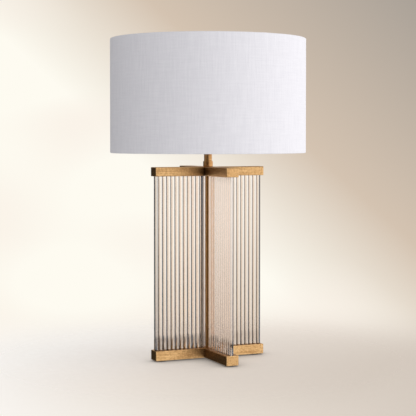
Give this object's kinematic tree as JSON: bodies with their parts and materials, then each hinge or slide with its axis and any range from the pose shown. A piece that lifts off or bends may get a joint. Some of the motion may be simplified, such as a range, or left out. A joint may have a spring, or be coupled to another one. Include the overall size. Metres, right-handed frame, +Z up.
{
  "type": "column table lamp",
  "caption": "Column table lamp: crossed brass bars at top and bottom joined by rows of clear glass rods, with a harp, a turn switch and a straight linen drum shade.",
  "frame": {"origin": "on the table, under the lamp's axis", "axes": "+Z up the lamp's axis, the four arms along X and Y, -Y the front arm, +Y the rear arm with the cord inlet"},
  "size_m": [0.432, 0.432, 0.7151],
  "materials": {
    "antique_brass": "brushed, aged",
    "plated_steel": "zinc plated",
    "rod_glass": "clear, polished",
    "felt": "felt",
    "black_plastic": "moulded",
    "clear_rubber": "soft, translucent",
    "plate_aluminium": "mill",
    "fibre_card": "vulcanised fibre",
    "contact_brass": "bright",
    "linen": "woven linen",
    "shade_liner_plastic": "translucent, matt",
    "bulb_frosted_glass": "frosted"
  },
  "bodies": {
    "lamp": {"foot_pads": "felt", "base_cross": "antique_brass", "base_cover": "plated_steel", "base_screws": "plated_steel", "cord_bushing": "black_plastic", "bottom_washer": "plated_steel", "bottom_nut": "plated_steel", "threaded_pipe": "plated_steel", "centre_post": "antique_brass", "lower_cushions": "clear_rubber", "upper_cushions": "clear_rubber", "glass_rods_right": "rod_glass", "glass_rods_rear": "rod_glass", "glass_rods_left": "rod_glass", "glass_rods_front": "rod_glass", "upper_rod_plate": "plate_aluminium", "top_cross": "antique_brass", "top_nut": "plated_steel", "neck_collar": "antique_brass", "neck_tube": "antique_brass", "harp_saddle": "plated_steel", "socket_cap": "antique_brass", "socket_body": "black_plastic", "terminal_screws": "plated_steel", "socket_liner": "fibre_card", "socket_shell": "antique_brass", "screw_shell": "plate_aluminium", "centre_contact": "contact_brass", "harp": "antique_brass", "harp_stud": "antique_brass"},
    "shade": {"shade_linen": "linen", "shade_liner": "shade_liner_plastic", "top_ring": "plated_steel", "bottom_ring": "plated_steel", "spider_hub": "plated_steel", "spider_arms": "plated_steel"},
    "finial": {"finial": "antique_brass"},
    "switch": {"switch_shaft": "contact_brass", "switch_knob": "black_plastic"},
    "sleeve_left": {"sleeve_left": "antique_brass"},
    "sleeve_right": {"sleeve_right": "antique_brass"},
    "bulb": {"bulb_contact": "contact_brass", "bulb_insulator": "black_plastic", "bulb_cap": "plate_aluminium", "bulb_glass": "bulb_frosted_glass"}
  },
  "joints": [
    {"name": "shade_turn", "type": "hinge", "parent": "lamp", "child": "shade", "pos_m": [0, 0, 0.6905], "axis": [0, 0, 1], "continuous": true},
    {"name": "finial_turn", "type": "hinge", "parent": "lamp", "child": "finial", "pos_m": [0, 0, 0.6936], "axis": [0, 0, 1], "continuous": true},
    {"name": "switch_turn", "type": "hinge", "parent": "lamp", "child": "switch", "pos_m": [0, -0.0221, 0.4899], "axis": [0, -1, 0], "continuous": true},
    {"name": "sleeve_left_lift", "type": "slide", "parent": "lamp", "child": "sleeve_left", "axis": [0, 0, 1], "range_m": [0, 0.016]},
    {"name": "sleeve_right_lift", "type": "slide", "parent": "lamp", "child": "sleeve_right", "axis": [0, 0, 1], "range_m": [0, 0.016]},
    {"name": "bulb_unscrew", "type": "hinge", "parent": "lamp", "child": "bulb", "pos_m": [0, 0, 0.499], "axis": [0, 0, 1], "range_deg": [0, 900]}
  ]
}
